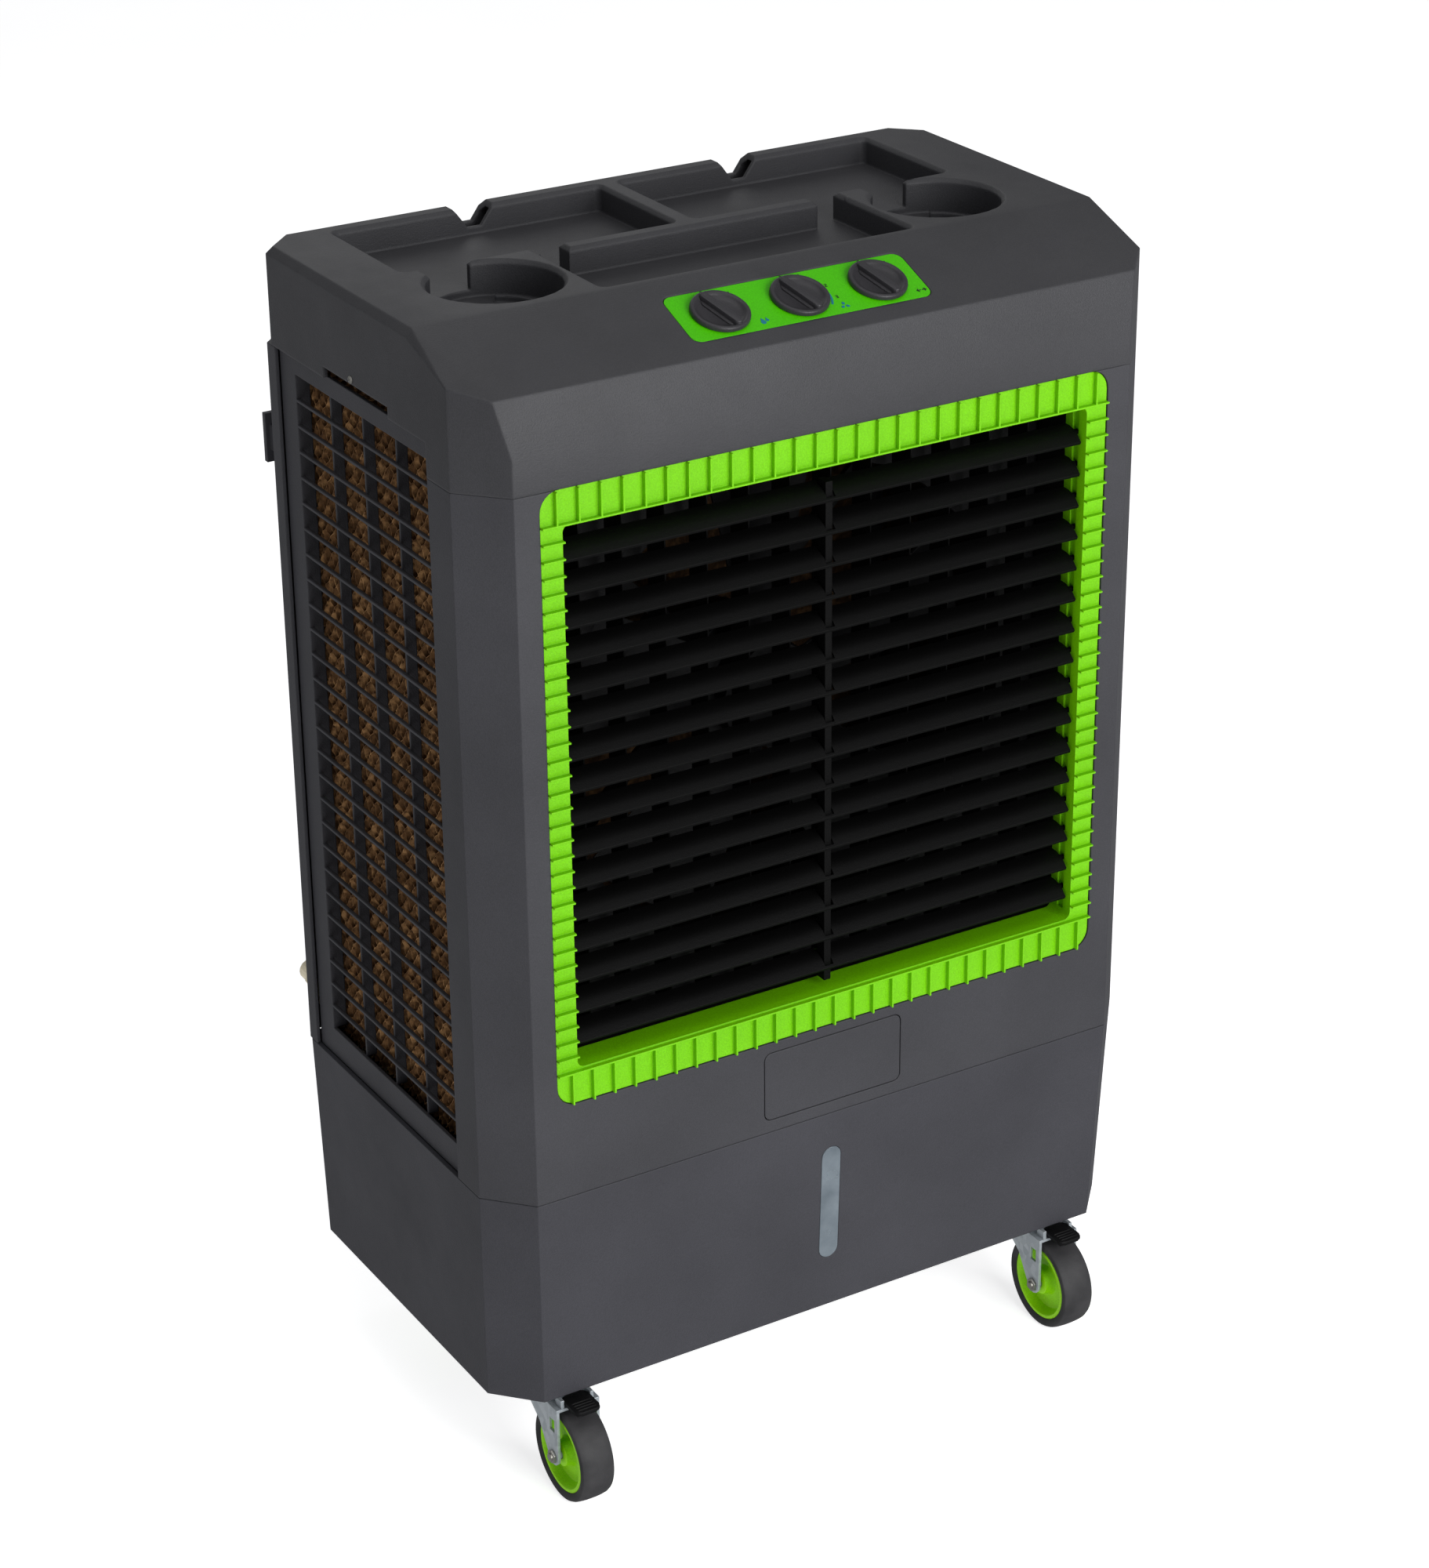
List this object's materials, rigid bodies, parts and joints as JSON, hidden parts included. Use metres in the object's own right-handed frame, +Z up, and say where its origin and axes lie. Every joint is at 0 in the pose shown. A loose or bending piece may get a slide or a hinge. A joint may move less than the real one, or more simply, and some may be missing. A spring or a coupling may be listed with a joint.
{
  "type": "evaporative cooler",
  "caption": "Portable evaporative cooler: charcoal cabinet with a lime outlet bezel, tilting louvres, top trays and cup holders, knobs, side pads, water tank and casters.",
  "frame": {"origin": "centre of the bounding box on the ground, between the four casters", "axes": "+Z up along the tallest side, +X across the width to the right seen from the front, +Y from the air outlet at the front to the back, the shortest side"},
  "size_m": [0.61, 0.4074, 0.984],
  "materials": {
    "charcoal": "fine-grained moulded plastic",
    "louvre_black": "satin black plastic",
    "black_plastic": "moulded black plastic",
    "zinc": "zinc-plated sheet steel",
    "wheel": "dark grey tread on a lime plastic hub",
    "pad": "corrugated cellulose paper",
    "lime": "satin lime plastic",
    "green": "printed green plastic",
    "knob": "moulded charcoal plastic",
    "window": "clouded clear plastic",
    "off_white": "off-white plastic",
    "motor": "painted steel can"
  },
  "bodies": {
    "housing": {"tank": "charcoal", "level_window": "window", "front_panel": "charcoal", "front_bezel": "lime", "top_cover": "charcoal", "control_plate": "green", "rear_panel": "charcoal", "left_pad_frame": "charcoal", "right_pad_frame": "charcoal", "rear_pad_frame": "charcoal", "left_pad": "pad", "right_pad": "pad", "rear_pad": "pad", "fan_motor": "motor", "fan_shroud": "black_plastic", "water_circuit": "off_white"},
    "door": {"fill_door": "charcoal"},
    "fan_rotor": {"fan": "black_plastic"},
    "link_bar": {"louvre_link_bar": "louvre_black"},
    "louvre_01_body": {"louvre_01": "louvre_black"},
    "louvre_02_body": {"louvre_02": "louvre_black"},
    "louvre_03_body": {"louvre_03": "louvre_black"},
    "louvre_04_body": {"louvre_04": "louvre_black"},
    "louvre_05_body": {"louvre_05": "louvre_black"},
    "louvre_06_body": {"louvre_06": "louvre_black"},
    "louvre_07_body": {"louvre_07": "louvre_black"},
    "louvre_08_body": {"louvre_08": "louvre_black"},
    "louvre_09_body": {"louvre_09": "louvre_black"},
    "louvre_10_body": {"louvre_10": "louvre_black"},
    "louvre_11_body": {"louvre_11": "louvre_black"},
    "louvre_12_body": {"louvre_12": "louvre_black"},
    "louvre_13_body": {"louvre_13": "louvre_black"},
    "louvre_14_body": {"louvre_14": "louvre_black"},
    "louvre_15_body": {"louvre_15": "louvre_black"},
    "louvre_16_body": {"louvre_16": "louvre_black"},
    "swing_vane_01_body": {"swing_vane_01": "louvre_black"},
    "swing_vane_02_body": {"swing_vane_02": "louvre_black"},
    "swing_vane_03_body": {"swing_vane_03": "louvre_black"},
    "swing_vane_04_body": {"swing_vane_04": "louvre_black"},
    "swing_vane_05_body": {"swing_vane_05": "louvre_black"},
    "swing_vane_06_body": {"swing_vane_06": "louvre_black"},
    "swing_vane_07_body": {"swing_vane_07": "louvre_black"},
    "swing_vane_08_body": {"swing_vane_08": "louvre_black"},
    "swing_vane_09_body": {"swing_vane_09": "louvre_black"},
    "swing_vane_10_body": {"swing_vane_10": "louvre_black"},
    "swing_vane_11_body": {"swing_vane_11": "louvre_black"},
    "swing_vane_12_body": {"swing_vane_12": "louvre_black"},
    "pump_knob_body": {"pump_knob": "knob"},
    "fan_speed_knob_body": {"fan_speed_knob": "knob"},
    "swing_knob_body": {"swing_knob": "knob"},
    "fork_front_left": {"caster_fork_front_left": "zinc"},
    "wheel_front_left": {"caster_wheel_front_left": "wheel"},
    "fork_front_right": {"caster_fork_front_right": "zinc"},
    "wheel_front_right": {"caster_wheel_front_right": "wheel"},
    "fork_rear_left": {"caster_fork_rear_left": "zinc"},
    "wheel_rear_left": {"caster_wheel_rear_left": "wheel"},
    "fork_rear_right": {"caster_fork_rear_right": "zinc"},
    "wheel_rear_right": {"caster_wheel_rear_right": "wheel"},
    "pedal_front_left": {"brake_pedal_front_left": "black_plastic"},
    "pedal_front_right": {"brake_pedal_front_right": "black_plastic"}
  },
  "joints": [
    {"name": "louvre_01_tilt", "type": "hinge", "parent": "housing", "child": "louvre_01_body", "pos_m": [0, -0.163, 0.4271], "axis": [1, 0, 0], "range_deg": [-46, 14]},
    {"name": "louvre_02_tilt", "type": "hinge", "parent": "housing", "child": "louvre_02_body", "pos_m": [0, -0.163, 0.45365], "axis": [1, 0, 0], "range_deg": [-46, 14]},
    {"name": "louvre_03_tilt", "type": "hinge", "parent": "housing", "child": "louvre_03_body", "pos_m": [0, -0.163, 0.4802], "axis": [1, 0, 0], "range_deg": [-46, 14]},
    {"name": "louvre_04_tilt", "type": "hinge", "parent": "housing", "child": "louvre_04_body", "pos_m": [0, -0.163, 0.50675], "axis": [1, 0, 0], "range_deg": [-46, 14]},
    {"name": "louvre_05_tilt", "type": "hinge", "parent": "housing", "child": "louvre_05_body", "pos_m": [0, -0.163, 0.5333], "axis": [1, 0, 0], "range_deg": [-46, 14]},
    {"name": "louvre_06_tilt", "type": "hinge", "parent": "housing", "child": "louvre_06_body", "pos_m": [0, -0.163, 0.55985], "axis": [1, 0, 0], "range_deg": [-46, 14]},
    {"name": "louvre_07_tilt", "type": "hinge", "parent": "housing", "child": "louvre_07_body", "pos_m": [0, -0.163, 0.5864], "axis": [1, 0, 0], "range_deg": [-46, 14]},
    {"name": "louvre_08_tilt", "type": "hinge", "parent": "housing", "child": "louvre_08_body", "pos_m": [0, -0.163, 0.61295], "axis": [1, 0, 0], "range_deg": [-46, 14]},
    {"name": "louvre_09_tilt", "type": "hinge", "parent": "housing", "child": "louvre_09_body", "pos_m": [0, -0.163, 0.6395], "axis": [1, 0, 0], "range_deg": [-46, 14]},
    {"name": "louvre_10_tilt", "type": "hinge", "parent": "housing", "child": "louvre_10_body", "pos_m": [0, -0.163, 0.66605], "axis": [1, 0, 0], "range_deg": [-46, 14]},
    {"name": "louvre_11_tilt", "type": "hinge", "parent": "housing", "child": "louvre_11_body", "pos_m": [0, -0.163, 0.6926], "axis": [1, 0, 0], "range_deg": [-46, 14]},
    {"name": "louvre_12_tilt", "type": "hinge", "parent": "housing", "child": "louvre_12_body", "pos_m": [0, -0.163, 0.71915], "axis": [1, 0, 0], "range_deg": [-46, 14]},
    {"name": "louvre_13_tilt", "type": "hinge", "parent": "housing", "child": "louvre_13_body", "pos_m": [0, -0.163, 0.7457], "axis": [1, 0, 0], "range_deg": [-46, 14]},
    {"name": "louvre_14_tilt", "type": "hinge", "parent": "housing", "child": "louvre_14_body", "pos_m": [0, -0.163, 0.77225], "axis": [1, 0, 0], "range_deg": [-46, 14]},
    {"name": "louvre_15_tilt", "type": "hinge", "parent": "housing", "child": "louvre_15_body", "pos_m": [0, -0.163, 0.7988], "axis": [1, 0, 0], "range_deg": [-46, 14]},
    {"name": "louvre_16_tilt", "type": "hinge", "parent": "housing", "child": "louvre_16_body", "pos_m": [0, -0.163, 0.82535], "axis": [1, 0, 0], "range_deg": [-46, 14]},
    {"name": "link_bar_pivot", "type": "hinge", "parent": "louvre_08_body", "child": "link_bar", "pos_m": [0, -0.16592, 0.61165], "axis": [1, 0, 0], "range_deg": [-14, 46]},
    {"name": "swing_vane_01_swing", "type": "hinge", "parent": "housing", "child": "swing_vane_01_body", "pos_m": [-0.20185, -0.13, 0.6264], "axis": [0, 0, 1], "range_deg": [-28, 28]},
    {"name": "swing_vane_02_swing", "type": "hinge", "parent": "housing", "child": "swing_vane_02_body", "pos_m": [-0.16515, -0.13, 0.6264], "axis": [0, 0, 1], "range_deg": [-28, 28]},
    {"name": "swing_vane_03_swing", "type": "hinge", "parent": "housing", "child": "swing_vane_03_body", "pos_m": [-0.12845, -0.13, 0.6264], "axis": [0, 0, 1], "range_deg": [-28, 28]},
    {"name": "swing_vane_04_swing", "type": "hinge", "parent": "housing", "child": "swing_vane_04_body", "pos_m": [-0.09175, -0.13, 0.6264], "axis": [0, 0, 1], "range_deg": [-28, 28]},
    {"name": "swing_vane_05_swing", "type": "hinge", "parent": "housing", "child": "swing_vane_05_body", "pos_m": [-0.05505, -0.13, 0.6264], "axis": [0, 0, 1], "range_deg": [-28, 28]},
    {"name": "swing_vane_06_swing", "type": "hinge", "parent": "housing", "child": "swing_vane_06_body", "pos_m": [-0.01835, -0.13, 0.6264], "axis": [0, 0, 1], "range_deg": [-28, 28]},
    {"name": "swing_vane_07_swing", "type": "hinge", "parent": "housing", "child": "swing_vane_07_body", "pos_m": [0.01835, -0.13, 0.6264], "axis": [0, 0, 1], "range_deg": [-28, 28]},
    {"name": "swing_vane_08_swing", "type": "hinge", "parent": "housing", "child": "swing_vane_08_body", "pos_m": [0.05505, -0.13, 0.6264], "axis": [0, 0, 1], "range_deg": [-28, 28]},
    {"name": "swing_vane_09_swing", "type": "hinge", "parent": "housing", "child": "swing_vane_09_body", "pos_m": [0.09175, -0.13, 0.6264], "axis": [0, 0, 1], "range_deg": [-28, 28]},
    {"name": "swing_vane_10_swing", "type": "hinge", "parent": "housing", "child": "swing_vane_10_body", "pos_m": [0.12845, -0.13, 0.6264], "axis": [0, 0, 1], "range_deg": [-28, 28]},
    {"name": "swing_vane_11_swing", "type": "hinge", "parent": "housing", "child": "swing_vane_11_body", "pos_m": [0.16515, -0.13, 0.6264], "axis": [0, 0, 1], "range_deg": [-28, 28]},
    {"name": "swing_vane_12_swing", "type": "hinge", "parent": "housing", "child": "swing_vane_12_body", "pos_m": [0.20185, -0.13, 0.6264], "axis": [0, 0, 1], "range_deg": [-28, 28]},
    {"name": "fan_spin", "type": "hinge", "parent": "housing", "child": "fan_rotor", "pos_m": [0, -0.068, 0.6264], "axis": [0, 1, 0], "continuous": true},
    {"name": "pump_knob_turn", "type": "hinge", "parent": "housing", "child": "pump_knob_body", "pos_m": [-0.0694, -0.12708, 0.96618], "axis": [0, -0.3677, 0.93], "range_deg": [-90, 0]},
    {"name": "fan_speed_knob_turn", "type": "hinge", "parent": "housing", "child": "fan_speed_knob_body", "pos_m": [0, -0.12708, 0.96618], "axis": [0, -0.3677, 0.93], "range_deg": [-135, 0]},
    {"name": "swing_knob_turn", "type": "hinge", "parent": "housing", "child": "swing_knob_body", "pos_m": [0.0694, -0.12708, 0.96618], "axis": [0, -0.3677, 0.93], "range_deg": [-90, 0]},
    {"name": "fill_door_tilt", "type": "hinge", "parent": "housing", "child": "door", "pos_m": [0, -0.1765, 0.3055], "axis": [1, 0, 0], "range_deg": [0, 40]},
    {"name": "swivel_front_left", "type": "hinge", "parent": "housing", "child": "fork_front_left", "pos_m": [-0.238, -0.134, 0.095], "axis": [0, 0, 1], "continuous": true},
    {"name": "roll_front_left", "type": "hinge", "parent": "fork_front_left", "child": "wheel_front_left", "pos_m": [-0.238, -0.162, 0.042], "axis": [1, 0, 0], "continuous": true},
    {"name": "swivel_front_right", "type": "hinge", "parent": "housing", "child": "fork_front_right", "pos_m": [0.238, -0.134, 0.095], "axis": [0, 0, 1], "continuous": true},
    {"name": "roll_front_right", "type": "hinge", "parent": "fork_front_right", "child": "wheel_front_right", "pos_m": [0.238, -0.162, 0.042], "axis": [1, 0, 0], "continuous": true},
    {"name": "swivel_rear_left", "type": "hinge", "parent": "housing", "child": "fork_rear_left", "pos_m": [-0.17, 0.12, 0.095], "axis": [0, 0, 1], "continuous": true},
    {"name": "roll_rear_left", "type": "hinge", "parent": "fork_rear_left", "child": "wheel_rear_left", "pos_m": [-0.17, 0.092, 0.042], "axis": [1, 0, 0], "continuous": true},
    {"name": "swivel_rear_right", "type": "hinge", "parent": "housing", "child": "fork_rear_right", "pos_m": [0.17, 0.12, 0.095], "axis": [0, 0, 1], "continuous": true},
    {"name": "roll_rear_right", "type": "hinge", "parent": "fork_rear_right", "child": "wheel_rear_right", "pos_m": [0.17, 0.092, 0.042], "axis": [1, 0, 0], "continuous": true},
    {"name": "brake_front_left", "type": "hinge", "parent": "fork_front_left", "child": "pedal_front_left", "pos_m": [-0.238, -0.16, 0.094], "axis": [1, 0, 0], "range_deg": [0, 8]},
    {"name": "brake_front_right", "type": "hinge", "parent": "fork_front_right", "child": "pedal_front_right", "pos_m": [0.238, -0.16, 0.094], "axis": [1, 0, 0], "range_deg": [0, 8]}
  ],
  "couplings": [
    {"joint": "louvre_01_tilt", "follows": "louvre_08_tilt", "ratio": 1},
    {"joint": "louvre_02_tilt", "follows": "louvre_08_tilt", "ratio": 1},
    {"joint": "louvre_03_tilt", "follows": "louvre_08_tilt", "ratio": 1},
    {"joint": "louvre_04_tilt", "follows": "louvre_08_tilt", "ratio": 1},
    {"joint": "louvre_05_tilt", "follows": "louvre_08_tilt", "ratio": 1},
    {"joint": "louvre_06_tilt", "follows": "louvre_08_tilt", "ratio": 1},
    {"joint": "louvre_07_tilt", "follows": "louvre_08_tilt", "ratio": 1},
    {"joint": "louvre_09_tilt", "follows": "louvre_08_tilt", "ratio": 1},
    {"joint": "louvre_10_tilt", "follows": "louvre_08_tilt", "ratio": 1},
    {"joint": "louvre_11_tilt", "follows": "louvre_08_tilt", "ratio": 1},
    {"joint": "louvre_12_tilt", "follows": "louvre_08_tilt", "ratio": 1},
    {"joint": "louvre_13_tilt", "follows": "louvre_08_tilt", "ratio": 1},
    {"joint": "louvre_14_tilt", "follows": "louvre_08_tilt", "ratio": 1},
    {"joint": "louvre_15_tilt", "follows": "louvre_08_tilt", "ratio": 1},
    {"joint": "louvre_16_tilt", "follows": "louvre_08_tilt", "ratio": 1},
    {"joint": "link_bar_pivot", "follows": "louvre_08_tilt", "ratio": -1},
    {"joint": "swing_vane_01_swing", "follows": "swing_vane_06_swing", "ratio": 1},
    {"joint": "swing_vane_02_swing", "follows": "swing_vane_06_swing", "ratio": 1},
    {"joint": "swing_vane_03_swing", "follows": "swing_vane_06_swing", "ratio": 1},
    {"joint": "swing_vane_04_swing", "follows": "swing_vane_06_swing", "ratio": 1},
    {"joint": "swing_vane_05_swing", "follows": "swing_vane_06_swing", "ratio": 1},
    {"joint": "swing_vane_07_swing", "follows": "swing_vane_06_swing", "ratio": 1},
    {"joint": "swing_vane_08_swing", "follows": "swing_vane_06_swing", "ratio": 1},
    {"joint": "swing_vane_09_swing", "follows": "swing_vane_06_swing", "ratio": 1},
    {"joint": "swing_vane_10_swing", "follows": "swing_vane_06_swing", "ratio": 1},
    {"joint": "swing_vane_11_swing", "follows": "swing_vane_06_swing", "ratio": 1},
    {"joint": "swing_vane_12_swing", "follows": "swing_vane_06_swing", "ratio": 1}
  ]
}
